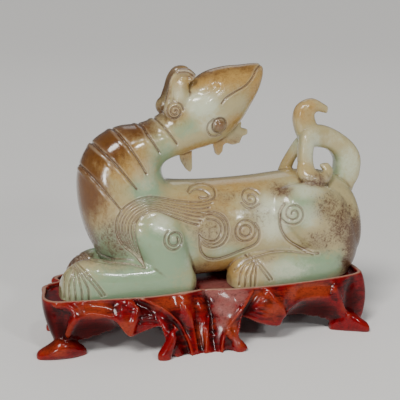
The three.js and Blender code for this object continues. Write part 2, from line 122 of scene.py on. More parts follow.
# A ball drawn out between two edges of the side view, one station a row:
# [x, z of one edge, x, z of the other, middle y, half depth]
def form(stations, sides=32, rings=48, square=2.0):
    rows = spline(stations, rings)
    bpy.ops.mesh.primitive_uv_sphere_add(segments=sides, ring_count=rings + 1, radius=1)
    made = bpy.context.object
    co = places(made)
    turn = np.arctan2(co[:, 1], co[:, 0])
    band = np.rint(np.arccos(np.clip(co[:, 2], -1, 1)) / math.pi * (rings + 1)).astype(int)
    row = rows[np.clip(band - 1, 0, rings - 1)]
    onRing = np.where((band == 0) | (band == rings + 1), 0.0, 1.0)  # the poles close on the middle line
    up = onRing * np.sign(np.cos(turn)) * np.abs(np.cos(turn)) ** (2 / square)
    out = onRing * np.sign(np.sin(turn)) * np.abs(np.sin(turn)) ** (2 / square)
    x = (row[:, 0] + row[:, 2]) / 2 + up * (row[:, 0] - row[:, 2]) / 2
    z = (row[:, 1] + row[:, 3]) / 2 + up * (row[:, 1] - row[:, 3]) / 2
    y = row[:, 4] + out * np.maximum(row[:, 5], 0.2)
    moveTo(made, (np.stack([x, y, z], 1) + middle) * mm)
    outwards(made)
    return made


def ball(radius, place, flat):
    bpy.ops.mesh.primitive_uv_sphere_add(
        segments=32, ring_count=20, radius=radius * mm, location=(np.array(place) + middle) * mm, scale=flat
    )
    made = bpy.context.object
    bpy.ops.object.transform_apply(location=True, rotation=True, scale=True)
    return made


# a flat scalloped fin: a filled ring moved onto its outline, then extruded across the mid plane
def fin(outline, thickness):
    bpy.ops.mesh.primitive_circle_add(vertices=len(outline), radius=1, fill_type="NGON")
    plate = bpy.context.object
    moveTo(plate, [(x + middle[0], -thickness / 2 + middle[1], z) for x, z in outline] * np.array(mm))
    bpy.ops.object.mode_set(mode="EDIT")
    bpy.ops.mesh.select_all(action="SELECT")
    bpy.ops.mesh.extrude_region_move(TRANSFORM_OT_translate={"value": (0, thickness * mm, 0)})
    bpy.ops.object.mode_set(mode="OBJECT")
    outwards(plate)
    return plate


# the same limb on the far side, moved along the body and towards its middle
def otherSide(stations, shift=0, inwards=0):
    return [[ax + shift, az, bx + shift, bz, -y - inwards, w] for ax, az, bx, bz, y, w in stations]


print("jade")
jade = {
    "voxel": 0.5,  # mm
    "softening": 20,  # passes that blend the limbs into the body
    "triangles": 190000,
    "base": 28.0,  # height of the tray floor plus a hair
    "fineLine": 1.5,  # mm, lines narrower than this hold dirt
    "fin": 3.2,  # thickness of the beard tufts
    "earCurl": 5.2,
    "eye": 3.7,
    "thinShare": 0.35,  # how much of the softening the tail, beard and ears get
    "backTop": 84,  # tail and beard are above this height
    "rump": 50,  # the tail starts behind this x
    "throat": 103,  # the beard is below this height, behind chest, within beardHalf of the mid plane
    "chest": -9,
    "beardHalf": 3,
    "crown": 127,  # the ears are above this height and before brow
    "brow": 3,
}

trunk = [
    [93, 54, 93, 44, 0, 5],
    [91, 66, 92, 37, 0, 16],
    [86, 76, 86.6, 31.4, 0, 22],
    [74, 82, 76, 26, 0, 24],
    [56, 83, 56, 28, 0, 24.5],
    [34, 81.5, 34, 30.5, 0, 24],
    [12, 81, 10, 30.5, 0, 23.5],
    [-4, 81.5, -12, 30, 0, 24.5],
    [-13, 82.5, -34, 31, 0, 25],
    [-16, 84, -48, 40, 0, 24],
    [-17, 85.5, -56, 53, 0, 22.5],
    [-17.4, 87, -60.5, 67, 0, 20.5],
    [-17.6, 88.5, -62, 80, 0, 19],
    [-17.4, 90, -61, 91, 0, 17.5],
    [-16.6, 91.5, -56.5, 101, 0, 16.5],
    [-15, 93, -49, 108, 0, 15.5],
    [-11.5, 94.5, -39, 112, 0, 14.5],
    [-6, 96, -28, 113, 0, 13.5],
    [1, 98, -18, 117, 0, 13],
    [8, 99.5, -9, 126, 0, 13.5],
    [14, 102, -1, 133, 0, 14],
    [20, 106, 7, 138.5, 0, 13.5],
    [26, 112, 17, 141, 0, 12],
    [31, 119.5, 26, 141.5, 0, 9.5],
    [35.5, 127, 32, 142, 0, 7],
    [38, 134, 36, 142, 0, 4.6],
    [38.6, 139, 37.4, 141.4, 0, 2.6],
]
upperArm = [
    [-34, 70, -22, 72, -17, 3],
    [-40, 65, -13, 67, -18.4, 7.6],
    [-39, 57, -9.5, 59, -19, 9.6],
    [-33, 46, -8, 47, -19.5, 9.6],
    [-29, 34, -5.4, 35, -19.5, 9.5],
    [-28, 26, -7, 26, -19.5, 8.5],
]
forearm = [
    [-4.6, 36, -5.2, 28, -19.5, 5],
    [-11, 45, -11, 22, -19.5, 9],
    [-28, 46, -28, 21, -19.5, 9.5],
    [-46, 46, -46, 21, -19.3, 9.5],
    [-57, 47.4, -57, 21, -18.5, 9.8],
    [-64, 46.6, -64, 21, -17.5, 9.8],
    [-69.6, 43.6, -70.6, 21, -17, 9],
    [-73.2, 39.4, -74.4, 23, -16.5, 7.5],
    [-75, 35, -75.6, 27, -16.5, 4.5],
]
thigh = [
    [38, 64, 44, 60, -16, 5],
    [40, 74, 48, 51, -16.5, 9],
    [50, 79, 58, 42, -17, 11],
    [66, 78, 70, 32, -16.5, 11.5],
    [79, 72, 82, 29, -14.5, 11],
    [86.5, 63, 88, 33, -11.5, 8.5],
    [90, 54, 91, 42, -9, 5],
]
shank = [
    [14, 34, 14, 27, -20.5, 5],
    [17, 40, 16, 22, -20.5, 8.5],
    [24, 44, 24, 21, -20.5, 9.8],
    [36, 45.5, 36, 21, -20, 10],
    [54, 46, 54, 21, -19, 10.3],
    [70, 47, 70, 21, -16.5, 10.3],
    [81, 46, 79, 21, -12.5, 9.5],
    [89, 41, 84, 24, -8, 7],
]
tail = [
    [91, 60, 78, 60, 0, 7],
    [91.5, 71, 80.3, 74, 0, 7],
    [95.3, 78, 81.3, 82, 0, 6.6],
    [96.3, 87, 81.3, 87.5, 0, 6.4],
    [93.6, 94, 79, 91.4, 0, 6.2],
    [87.4, 100.3, 75.5, 94, 0, 6],
    [78.4, 105.7, 71.6, 95, -0.5, 5.6],
    [70.6, 107.8, 68.6, 95.6, -2, 5.2],
    [63.6, 107, 66.6, 95.6, -4, 4.8],
    [58.8, 102.6, 65.6, 94, -6, 4.6],
    [57, 94, 65, 90, -7.5, 4.4],
    [56.8, 86, 65.2, 84, -9.5, 4.4],
]
hook = [
    [56.8, 90, 65, 90, -8.5, 4],
    [54.8, 85, 64.6, 86.4, -12, 4.4],
    [56, 80.6, 65.4, 85, -14.5, 4.6],
    [62, 76.8, 67, 84.2, -15.5, 4.6],
    [69.6, 77.4, 69, 84.6, -15, 4.4],
    [73.6, 80.2, 69.4, 85, -13, 4],
    [75.6, 84.4, 68.4, 86.4, -11.5, 3.6],
    [73, 88.4, 68, 87.6, -11, 2],
]
farBranch = [
    [66, 104, 70, 96, 2, 4],
    [61, 99.5, 66.5, 94, 5, 4.2],
    [57.6, 92.5, 62.5, 89, 8, 4.2],
    [54, 85, 60.5, 83, 10, 4.2],
    [52, 78, 60, 76, 12, 4.2],
]
topCurl = [
    [60.5, 98, 72.5, 103, -1, 5],
    [57.6, 105, 70.5, 107, -0.5, 5],
    [56.6, 111.5, 69.2, 110, 0, 5],
    [58.2, 117.4, 68.6, 113, 0, 4.8],
    [62.5, 120.8, 69.6, 114.4, 0, 4.6],
    [68.4, 121.8, 71.6, 114.4, 0, 4.2],
    [76, 117.6, 75.4, 113.4, 0, 3.6],
]
ear = [
    [-17, 119, -8, 117, -7.5, 3],
    [-17.2, 124, -6, 121, -7.5, 3.8],
    [-15.2, 130.4, -4, 126, -7, 3.6],
    [-13.4, 136.4, -3.4, 129, -6.5, 3.4],
    [-9.6, 141, -4, 131.8, -6, 3.2],
    [-4, 141.4, -3.4, 133.8, -6, 3],
    [0.2, 138.2, -2.4, 134.6, -6, 2.4],
]
beard = [
    (20, 112), (24.5, 114), (27, 110.9), (26.6, 108), (30.6, 107.2), (30.4, 104.3), (27.4, 103.4),
    (25.9, 99.9), (22, 99), (18.7, 100.2), (17, 99.6), (16.4, 96), (14.3, 93.6), (12.6, 94.6), (10.6, 103),
]
tuft = [(-8, 98), (-6.4, 91.6), (-3.8, 87.4), (-1.6, 85.6), (-0.3, 87.8), (-0.6, 98)]

# the far foreleg is lower and turns inwards, so its paw lies close beside the near one
farLeg = {"shift": 6.4, "lower": 0.95, "turn": -2.7, "aside": -40.2}
farForearm = []
for ax, az, bx, bz, y, w in forearm:
    aside = farLeg["turn"] * y + farLeg["aside"]
    farForearm.append([ax + farLeg["shift"], az * farLeg["lower"], bx + farLeg["shift"], bz, aside, w])

bpy.ops.object.select_all(action="DESELECT")
parts = [
    form(trunk, 64, 150, 2.2),
    form(upperArm, square=2.3),
    form(otherSide(upperArm, 2, 5), square=2.3),
    form(forearm, square=2.4),
    form(farForearm, square=2.4),
    form(thigh, square=2.2),
    form(otherSide(thigh), square=2.2),
    form(shank, square=2.4),
    form(otherSide(shank, 0, 1.5), square=2.4),
    form(tail, 24, 60, 3),
    form(hook, 20, 40),
    form(farBranch, 20, 30),
    form(topCurl, 20, 40, 2.6),
    form(ear, 20, 36),
    form(otherSide(ear, 1.6), 20, 36),
    fin(beard, jade["fin"]),
    fin(tuft, jade["fin"]),
]
for side in (near, far):
    parts.append(ball(jade["earCurl"], (-12.6, side * 8.4, 120.4), (1, 0.75, 1)))
    parts.append(ball(jade["eye"], (10.8, side * 12, 112), (1, 0.8, 1)))
beast = joined(parts, "jadeBeast")
modify(beast, "REMESH", mode="VOXEL", voxel_size=jade["voxel"] * mm)

# the thin parts are softened less than the body
x, y, z = (places(beast) / mm - middle).T
onTail = (z > jade["backTop"]) & (x > jade["rump"])
onBeard = (z > jade["backTop"]) & (z < jade["throat"]) & (np.abs(y) < jade["beardHalf"])
onBeard &= x > jade["chest"]
onEars = (z > jade["crown"]) & (x < jade["brow"])
slender = onTail | onBeard | onEars
group = beast.vertex_groups.new(name="softened")
group.add(np.flatnonzero(~slender).tolist(), 1, "REPLACE")
group.add(np.flatnonzero(slender).tolist(), jade["thinShare"], "REPLACE")
modify(beast, "SMOOTH", factor=0.5, iterations=jade["softening"], vertex_group="softened")
beast.vertex_groups.clear()
print("jade faces", len(beast.data.polygons))

print("carving")
# [x, z] paths in the side view
hairOuter = [
    (-33, 43), (-37, 48.7), (-42.9, 54.4), (-45.8, 60.6), (-46, 66), (-44.2, 71), (-39.9, 75.1),
    (-33.7, 77.6), (-26.6, 78), (-15.4, 75.3), (-6.6, 73.8), (0.7, 73.4), (6.6, 74.5), (8.3, 77.2),
    (7.3, 79.5), (2.8, 80.6), (-3.5, 80.2), (-6.4, 78.4),
]
hairInner = [
    (-33, 43), (-34.1, 47.8), (-36.7, 55.2), (-37.7, 61.6), (-36.7, 66), (-33.5, 69.4), (-28.1, 71.5),
    (-23.8, 70.8), (-16.9, 67.8), (-9, 64.2), (-4.1, 62.7),
]
hookInner = [(-6, 77.6), (-1.8, 78.9), (2.2, 78.2), (4.2, 76.3), (2.4, 74.8), (-1.3, 75.5)]
comma = [
    [
        (-3.5, 57.3), (-1.1, 52.1), (4.6, 49.6), (9.9, 51.5), (12.4, 57), (11.9, 63), (8.5, 67),
        (3, 68.6), (-1.5, 68.2),
    ],
    [(-3.4, 56.9), (0, 52.8), (5, 51.6), (9.2, 54), (10.8, 59), (9.4, 64), (5, 67), (-0.5, 67.4)],
    [(-3.2, 56.4), (0.7, 54), (5.2, 53.7), (8, 57), (8.4, 61), (6, 64), (1.1, 65.4)],
]
cloud = [
    (-3.2, 55.5), (-2.3, 48.7), (1.3, 44.2), (6.9, 42.6), (13.3, 44), (19.5, 46.4), (26.7, 49.1),
    (29.4, 52.5), (29.3, 57.4), (27.3, 61),
]
thighEdge = [(43, 70.5), (41.2, 67), (40.9, 62.5), (42, 56.4), (46, 50.5), (53.1, 45.6), (59.3, 42.4)]
legCrease = [(15.8, 37.2), (19.3, 40.8), (24.6, 43), (36, 44.6), (46.7, 44.4), (53.4, 43.4), (62, 42.5)]
armCrease = [(-60, 47.6), (-55, 47), (-49.2, 45.9), (-40, 44.8), (-33.5, 43)]
foreClaws = [
    [(-68, 45), (-71.6, 41.4), (-73.6, 37.4), (-74.4, 30)],
    [(-68, 44.6), (-70.4, 40.3), (-71.8, 36.4), (-71.8, 29)],
    [(-68.2, 44.6), (-69.1, 39.7), (-69.2, 35), (-68.8, 29)],
    [(-67.8, 44.4), (-66.7, 38.8), (-66, 34), (-65.7, 29)],
    [(-67.4, 44.6), (-64.6, 39.5), (-62.8, 35), (-62.4, 29)],
]
foreWrist = [
    [(-70.2, 46.5), (-67.4, 45), (-63.6, 41.1), (-59.5, 36), (-56, 30.5)],
    [(-68.6, 47.2), (-65.8, 45.6), (-62, 41.6), (-57.8, 36.4), (-54.4, 31)],
]
hindClaws = [
    [(24.6, 42), (20.6, 40), (17.8, 36), (16.8, 30)],
    [(25, 41.6), (22.4, 38.6), (20.4, 35), (19.8, 29)],
    [(25.6, 41), (24, 37), (23, 34), (23, 29)],
    [(26, 40.6), (25.8, 36.5), (25.4, 33), (25.2, 29)],
]
hindAnkle = [
    [(22.6, 43.6), (25.5, 42), (29, 37.4), (33.4, 31)],
    [(24.6, 44), (27.4, 42.2), (30.8, 37.8), (35, 31.6)],
]
neckBands = [
    [(-66, 99.4), (-58.9, 91.5), (-50.5, 81.6), (-43.5, 72.4)],
    [(-62, 111), (-53.6, 104), (-45, 95.4), (-35, 82.6)],
    [(-47.5, 117.5), (-41.9, 110), (-35.5, 100.5), (-29, 89.6)],
    [(-31.4, 117.5), (-28.1, 112), (-26.5, 107.9), (-21.3, 99.5)],
    [(-23.5, 119.5), (-19.9, 114.7), (-16.4, 109.8), (-12, 103.6)],
]
mouth = [
    (38.2, 142), (33.8, 139.4), (30.7, 135.6), (27.5, 132.6), (24, 130.6), (20.3, 129.2), (14.6, 126.3),
    (11.9, 123.6),
]
earHollow = [(-13.4, 126.5), (-12.8, 131), (-11, 135.2), (-7.6, 137.4), (-4, 137)]
earRim = [
    (-17.4, 125.6), (-16.9, 131), (-16, 134.6), (-14.4, 138), (-12.2, 139.8), (-9, 140.4), (-5, 140.2),
    (-1.6, 138),
]
browFold = [(-5.8, 132), (-3.7, 129.6), (0.6, 128.7), (5.9, 129.5), (9.1, 131.9)]
lid = [(7.4, 115.6), (4.7, 113.2), (4.3, 110), (6, 107.2), (8.6, 106.2), (12.4, 107)]
curlTail = [(21, 71.6), (23.3, 69.3), (26.5, 68.9), (30.5, 70.6)]


# a spiral line, from its outer end inwards
def coil(centre, radius, turns, start, inner=0.15, squat=1.0):
    t = np.linspace(0, 1, int(turns * 14) + 2)
    angle = start + t * turns * 2 * math.pi
    reach = radius * (1 - (1 - inner) * t)
    return list(zip(centre[0] + reach * np.cos(angle), centre[1] + reach * np.sin(angle) * squat))


def ring(centre, radius):
    angle = np.linspace(0, 2 * math.pi, 25)
    return list(zip(centre[0] + radius * np.cos(angle), centre[1] + radius * np.sin(angle)))


# a line part of the way from one path to another
def between(a, b, share):
    count = 30
    return [tuple(p) for p in spline(a, count) * (1 - share) + spline(b, count) * share]


def shifted(paths, dx, dz=0):
    return [[(x + dx, z + dz) for x, z in path] for path in paths]


hairFlow = hairOuter[:13]
lines = []


# Notes down lines to carve: width and depth in mm, and the slab of the block that they are in.
# A depth below zero raises a ridge.
def worn(paths, width, depth, yLow=-60, yHigh=0, side=near):
    for path in paths:
        dense = spline(path, max(len(path) * 8, 12))
        lines.append({"path": dense, "width": width, "depth": depth, "y": (yLow, yHigh), "side": side})


worn([hairOuter, hairInner], 0.7, 0.8)
worn([between(hairFlow, hairInner, s) for s in (0.16, 0.33, 0.5, 0.67, 0.84)], 0.55, 0.65)
worn([hookInner], 0.7, 0.7)
worn(comma, 0.65, 0.75)
worn([cloud], 0.8, 0.9)
worn([coil((26.5, 73.6), 5.6, 1.7, 0.4, 0.1, 0.82)], 0.65, 0.75)
worn([curlTail], 0.6, 0.5)
worn([ring((21.9, 57.5), 5.6), ring((21.7, 57.6), 3)], 0.65, 0.8)
worn([coil((-17.9, 57), 5.7, 1.75, 2.2, 0.36)], 0.7, 1)
worn([coil((47.2, 65.6), 6.8, 2.1, 2.5, 0.14)], 0.65, 0.75)
worn([thighEdge], 1, 1.1)
worn([legCrease, armCrease], 0.9, 0.7)
worn(foreClaws + hindClaws, 0.6, 0.75)
worn(foreWrist + hindAnkle, 0.55, 0.7)
worn([earHollow], 2.3, 1.6)
worn([earRim], 1, -0.6)
worn([browFold], 2.2, 0.6)
# the far paw shows past the near one
farPaw = (6.8, -1)
worn(shifted(foreClaws, *farPaw), 0.75, 0.6, -7, 6)
worn(shifted(foreWrist, *farPaw), 0.7, 0.6, -7, 6)
nearHalf = (-60, 0, near)
farHalf = (0, 60, far)
for slab in (nearHalf, farHalf):
    worn(neckBands, 0.6, 1, *slab)
    # each plate of the neck stands a little proud of the next
    worn(shifted(neckBands, -1.6, -1.3), 1.5, -0.4, *slab)
    worn([mouth], 0.6, 0.85, *slab)
    worn([coil((-12.6, 120.1), 5, 2.3, 0.2, 0.12)], 0.55, 0.8, *slab)
    worn([ring((10.8, 112), 4)], 0.55, 0.8, *slab)
    worn([lid], 0.6, 0.6, *slab)
# the other flank is plainer: its hair, three coils, the cloud, the thigh and the paws
farCoils = [coil((-16, 58), 4.9, 1.4, 3.4, 0.35), coil((48, 65.2), 6, 1.9, 2.2), coil((4, 59), 7, 1.6, 2.2)]
worn([hairFlow, hairInner, thighEdge, cloud] + farCoils, 0.8, 0.5, *farHalf)
worn(shifted(foreClaws[::2], 6.4, -1), 0.75, 0.5, 5, 60, far)
worn(hindClaws[::2], 0.75, 0.5, 14, 60, far)


lineReach = 4.0  # mm, past which a line has no effect
turnedAway = -0.12  # a surface that faces away more than this is not carved
steepest = 0.25  # lowest y of a normal that distances are measured with
usualWidth = 0.7  # mm


# distance from each point of the surface to a path, measured along the surface
def reachOf(co, normal, line):
    path = line["path"]
    low, high = path.min(0) - lineReach, path.max(0) + lineReach
    inBox = (co[:, 0] > low[0]) & (co[:, 0] < high[0]) & (co[:, 2] > low[1]) & (co[:, 2] < high[1])
    inBox &= (co[:, 1] > line["y"][0]) & (co[:, 1] < line["y"][1])
    inBox &= normal[:, 1] * line["side"] > turnedAway
    index = np.flatnonzero(inBox)
    if not len(index):
        return index, None
    p = co[index][:, [0, 2]]
    a, b = path[:-1], path[1:]
    along = b - a
    length2 = (along**2).sum(1)
    best = np.full(len(p), 1e9)
    offset = np.zeros((len(p), 2))
    for k in range(len(a)):
        t = np.clip(((p - a[k]) @ along[k]) / length2[k], 0, 1)
        away = p - (a[k] + t[:, None] * along[k])
        d = (away**2).sum(1)
        nearer = d < best
        best[nearer] = d[nearer]
        offset[nearer] = away[nearer]
    n = normal[index]
    ny = np.maximum(np.abs(n[:, 1]), steepest)
    dy = (n[:, 0] * offset[:, 0] + n[:, 2] * offset[:, 1]) / ny
    return index, np.sqrt(best + dy**2)


# how far each point is from the nearest line, as though all lines had the usual width
def nearestLine(obj, rows):
    co = places(obj) / mm - middle
    normal = normals(obj)
    nearest = np.full(len(co), lineReach)
    for line in rows:
        index, d = reachOf(co, normal, line)
        if len(index):
            nearest[index] = np.minimum(nearest[index], d / line["width"] * usualWidth)
    return nearest


# carves all the noted lines, the deeper one where two meet
def wear(obj):
    co = places(obj) / mm - middle
    normal = normals(obj)
    down = np.zeros(len(co))
    for line in lines:
        index, d = reachOf(co, normal, line)
        if len(index):
            cut = line["depth"] * np.exp(-((d / line["width"]) ** 2))
            down[index] = np.where(np.abs(cut) > np.abs(down[index]), cut, down[index])
    moveTo(obj, (co - normal * down[:, None] + middle) * mm)


# soft swellings of the surface: place, radius, height
swellings = [
    ((-18, -29, 57), 6.8, 0.9),
    ((-18.3, -29.5, 58), 1.8, 0.8),
    ((47.3, -27, 65.6), 7.6, 0.9),
    ((21.8, -24, 57.5), 6.8, 0.8),
    ((26.5, -17, 73.6), 6.4, 0.7),
    ((5, -23, 60), 9, 0.6),
    ((1, -12, 77), 7, 0.6),
    ((0.8, -13, 125.6), 7.5, 0.7),
]


def swell(obj, rows):
    co = places(obj) / mm - middle
    normal = normals(obj)
    for place, radius, height in rows:
        d = np.linalg.norm(co - np.array(place), axis=1) / radius
        co += normal * (height * np.exp(-(d**4)))[:, None]
    moveTo(obj, (co + middle) * mm)


# brings a mesh of squares down to a number of triangles
def thinOut(obj, triangles):
    modify(obj, "DECIMATE", ratio=min(1, triangles / (2 * len(obj.data.polygons))))
    print(obj.name, "triangles", sum(len(p.vertices) - 2 for p in obj.data.polygons))


swell(beast, swellings)
wear(beast)
jadeLines = [line for line in lines if line["width"] < jade["fineLine"]]
thinOut(beast, jade["triangles"])

print("stand")
stand = {
    "rim": 30.0,  # mm, heights of the rim, the tray floor and its underside
    "floor": 27.7,
    "under": 24.3,
    "rimWidth": 2.4,
    "apronDepth": 7.5,  # thickness of the carved apron
    "length": 174,  # over which the far side draws in towards the left end
    "farSetback": 11.5,
    "farNarrowing": 0.4,
    "endLean": 0.35,  # weight of x in the direction inwards
    "foldEase": 0.7,  # roundness of the apron's folds
    "hollowIn": 2,  # the hollow below starts this far behind the apron, this far above its edge
    "hollowUp": 0.6,
    "lipBelow": 0.3,  # the pale lip starts this far below the rim
    "lipBlend": 0.25,
    "points": 420,  # round the skin
    "wallSteps": 12,
    "voxel": 0.62,
    "softening": 4,
    "triangles": 190000,
}
# [rim x, rim y, front edge x, y, z, fold, how far the back hangs below the front edge]
apron = [
    [-81.5, 0, -80, 0, 17, 0, 0],
    [-83.6, -10, -80.5, -9, 15, 0.5, 0],
    [-85, -18, -80.5, -17, 11, 1.5, 2],
    [-84.4, -23.5, -78.6, -22, 5, 2, 2],
    [-82, -27, -77, -26.5, 3, 1.5, 2],
    [-79, -28.4, -74.8, -28.8, 4, 0.5, 3],
    [-75, -29.2, -74.3, -31.5, 13.5, 0.5, 6.5],
    [-70, -30.2, -69.8, -34, 21.6, 0, 13.4],
    [-64, -31, -63.5, -35, 23.8, -0.5, 13.8],
    [-57, -31.8, -56, -36, 22.7, -0.5, 10.4],
    [-51, -32.6, -49.8, -36.5, 19.2, 0.5, 4.6],
    [-46, -33.2, -44.8, -37.5, 11.2, 2, 0],
    [-40, -34, -37, -38.5, 13.4, 1.5, 0],
    [-36, -34.3, -29.5, -40, 15.6, 0.5, 0],
    [-34, -34.4, -26, -41.5, 11, 1.5, 0],
    [-31, -34.4, -25.5, -43.5, 4, 2.5, 0],
    [-27, -34.3, -21, -44.5, 0, 3, 0],
    [-20, -33.8, -15.5, -43.5, 0, -0.5, 0],
    [-14.5, -33.2, -11, -44, 0, 1, 0],
    [-10, -32.2, -7.6, -43, 0, -1, 0],
    [-6, -31.2, -4.2, -43.8, 0, 0.6, 0],
    [-2, -31.4, -1, -43, 0, -1.2, 0],
    [4, -32.6, 3, -44, 0, 0, 0],
    [12, -34.4, 9, -44.5, 0, 3, 0],
    [18, -35, 10.5, -43, 5, 3, 0],
    [21, -35.2, 11, -41, 12.5, 1.5, 0],
    [24, -35.3, 15, -39.5, 16, 0.5, 0],
    [29, -35.3, 24, -38.8, 12.2, 1, 0],
    [35.5, -35.2, 35.2, -38.6, 8.6, 2.5, 0],
    [40, -35.1, 39.4, -37.4, 13.6, 1, 2.6],
    [44, -35, 43.5, -36.8, 17.8, 0, 7.2],
    [50, -34.6, 49.5, -36.2, 21.2, -0.5, 10.8],
    [56.5, -34, 56.2, -35.8, 21.8, -0.5, 12],
    [63.5, -33, 63.5, -35.2, 20.4, 0, 12.4],
    [69.5, -32, 69, -34.4, 16, 0.5, 9.8],
    [74.5, -31, 73.5, -33.4, 9, 1, 5],
    [79, -30, 77, -32.5, 3, 0.5, 2],
    [84, -28.2, 83, -30.6, 3, 0, 2],
    [88.2, -24.8, 88, -26.6, 4, 2.5, 2],
    [89.4, -18, 89, -17.5, 9, 2.5, 2],
    [89.6, -9, 88.6, -9, 16, 1.5, 0],
    [89.2, 0, 87.8, 0, 17.5, 0.5, 0],
]
leftShoe = [
    [-64, 2.6, -64, -1, -25, 1.6],
    [-66.5, 5.5, -66.5, -1, -25.5, 3.4],
    [-72, 9.4, -72, -1, -27, 4.8],
    [-78, 10.4, -78, -1, -27, 5.4],
    [-84, 6.6, -84, -1, -26, 5],
    [-88, 4.2, -88, -1, -25.2, 3.6],
    [-89.6, 2.4, -89.6, -0.5, -25, 1.8],
]
rightShoe = [
    [69, 4, 69, -1, -28, 1.8],
    [71, 7.4, 71, -1, -28.6, 3.4],
    [75, 10, 75, -1, -30.4, 4.8],
    [80, 10.6, 80, -1, -32.6, 5.4],
    [84.4, 7, 84.4, -1, -34.8, 4.8],
    [87, 5, 87, -1, -36, 3.6],
    [88.2, 3, 88.2, -0.5, -36.6, 1.8],
]
leftToe = [
    [-22.6, 17, -19.6, 13.6, -42, 2],
    [-24.2, 15, -21, 12, -43, 2.8],
    [-26.4, 10.4, -22, 7.6, -43.6, 3.2],
    [-29, 6.6, -23.8, 2.8, -44.2, 3.4],
    [-31.6, 2.8, -25, -0.6, -44.8, 3],
    [-31.6, -0.4, -27.6, -1, -45, 1.6],
]
rightToe = [
    [7.4, 12.6, 5, 9.6, -42, 2],
    [9.6, 10, 6.2, 6.6, -42.8, 2.8],
    [12, 6.8, 8, 2.6, -43.6, 3.3],
    [14.4, 4.2, 9.6, -0.8, -44.4, 3.2],
    [16.4, 1.6, 12, -1, -45, 2],
]


# a point's place on the far side, where the tray is narrower towards its left corner
def toFarSide(x, y):
    share = min(max((apron[-1][0] - x) / stand["length"], 0), 1) ** 3
    return x + stand["farSetback"] * share, -y * (1 - stand["farNarrowing"] * share)


def farShoe(stations):
    moved = []
    for ax, az, bx, bz, y, w in stations:
        farAx, farY = toFarSide(ax, y)
        moved.append([farAx, az, toFarSide(bx, y)[0], bz, farY, w])
    return moved


# one skin round the middle: tray floor, rim, folded wall, lower edge, hollow inside
def skin():
    back = [[*toFarSide(a, b), *toFarSide(c, d), *rest] for a, b, c, d, *rest in apron[-2:0:-1]]
    rows = loopSpline(apron + back, stand["points"])
    rim = np.stack([rows[:, 0], rows[:, 1], np.full(len(rows), stand["rim"])], 1)
    edge = rows[:, [2, 3, 4]]
    edge[:, 2] = np.maximum(edge[:, 2], 0)
    centreX = (apron[0][0] + apron[-1][0]) / 2

    def inwards(p, distance):
        to = np.stack([(p[:, 0] - centreX) * stand["endLean"], p[:, 1]], 1)
        to /= np.linalg.norm(to, axis=1, keepdims=True)
        moved = p.copy()
        moved[:, :2] -= to * np.reshape(distance, (-1, 1))
        return moved

    def level(p, z):
        lowered = p.copy()
        lowered[:, 2] = z
        return lowered

    inner = inwards(rim, stand["rimWidth"])
    wall = []
    for t in np.linspace(0, 1, stand["wallSteps"])[1:-1]:
        fold = rows[:, 5] * math.sin(math.pi * t) ** stand["foldEase"]
        wall.append(inwards(rim * (1 - t) + edge * t, -fold))
    drop = np.maximum(rows[:, 6], 0)
    behind = level(inwards(edge, stand["apronDepth"]), np.maximum(edge[:, 2] - drop, 0))
    ceiling = np.maximum(stand["under"], edge[:, 2] + stand["hollowUp"])
    under = level(inwards(rim, stand["apronDepth"] + stand["hollowIn"]), ceiling)
    rings = [level(inner, stand["floor"]), inner, rim, *wall, edge, behind, under]
    count = len(rows)
    verts = np.vstack(rings + [[[centreX, 0, stand["floor"]], [centreX, 0, stand["under"]]]])
    faces = []
    for r in range(len(rings) - 1):
        for i in range(count):
            j = (i + 1) % count
            faces.append((r * count + i, r * count + j, (r + 1) * count + j, (r + 1) * count + i))
    top, bottom = len(verts) - 2, len(verts) - 1
    last = (len(rings) - 1) * count
    for i in range(count):
        j = (i + 1) % count
        faces.append((top, j, i))
        faces.append((bottom, last + i, last + j))
    mesh = bpy.data.meshes.new("apron")
    mesh.from_pydata(((verts + middle) * mm).tolist(), [], faces)
    made = bpy.data.objects.new("apron", mesh)
    bpy.context.scene.collection.objects.link(made)
    outwards(made)
    return made


woodParts = [skin()]
for shoe in (leftShoe, rightShoe, leftToe, rightToe):
    woodParts.append(form(shoe, 24, 30))
    woodParts.append(form(farShoe(shoe), 24, 30))
wood = joined(woodParts, "carvedStand")
modify(wood, "REMESH", mode="VOXEL", voxel_size=stand["voxel"] * mm)
modify(wood, "SMOOTH", factor=0.5, iterations=stand["softening"])

# side-view paths on the wood: ridges, flutes and broad folds stand out, the others are sunk
ridges = [
    [
        (-37, 29.4), (-29.4, 25.8), (-24.7, 22.4), (-21.2, 18.7), (-18.4, 15.2), (-16, 10.7),
        (-14.2, 6.3), (-13, 0),
    ],
    [(21.4, 28.4), (16.9, 23.8), (12.1, 19.2), (7.9, 14.2), (5.5, 9.6), (3.7, 5.5), (2.6, 0)],
]
flutes = [
    [(-16.2, 25.3), (-14.2, 22.1), (-12.6, 18.3), (-11.4, 11.6), (-10.6, 2)],
    [(-2, 17.2), (-3, 13.3), (-4.5, 8), (-5.8, 0)],
]
broad = [
    [(-79.4, 28.4), (-76.4, 28.2), (-73.3, 27.4), (-71.4, 25.6), (-70.9, 23), (-72.6, 19), (-74.4, 13.6)],
    [(30.6, 27.4), (32.5, 24.3), (35.8, 19.4), (38.6, 15)],
    [(-43.4, 28), (-41.4, 27), (-40.2, 24.8), (-41.2, 21.6), (-42.7, 17), (-43.6, 13)],
    [(68.9, 24.4), (70.6, 19.5), (73.8, 13), (76.9, 9)],
]
hollows = [
    [(-80.4, 25), (-77.4, 21.4), (-77, 14)],
    [(80.5, 26), (78, 21.5), (76.8, 14)],
    [(-62, 28), (-58, 27.6), (-52, 26.6)],
    [(50, 27.4), (58, 27), (65, 26)],
]
slits = [[(x, 15.5), (x - 0.5, 8), (x - 0.9, 0)] for x in (-10.2, -8.8, -7.4, -6.1)]
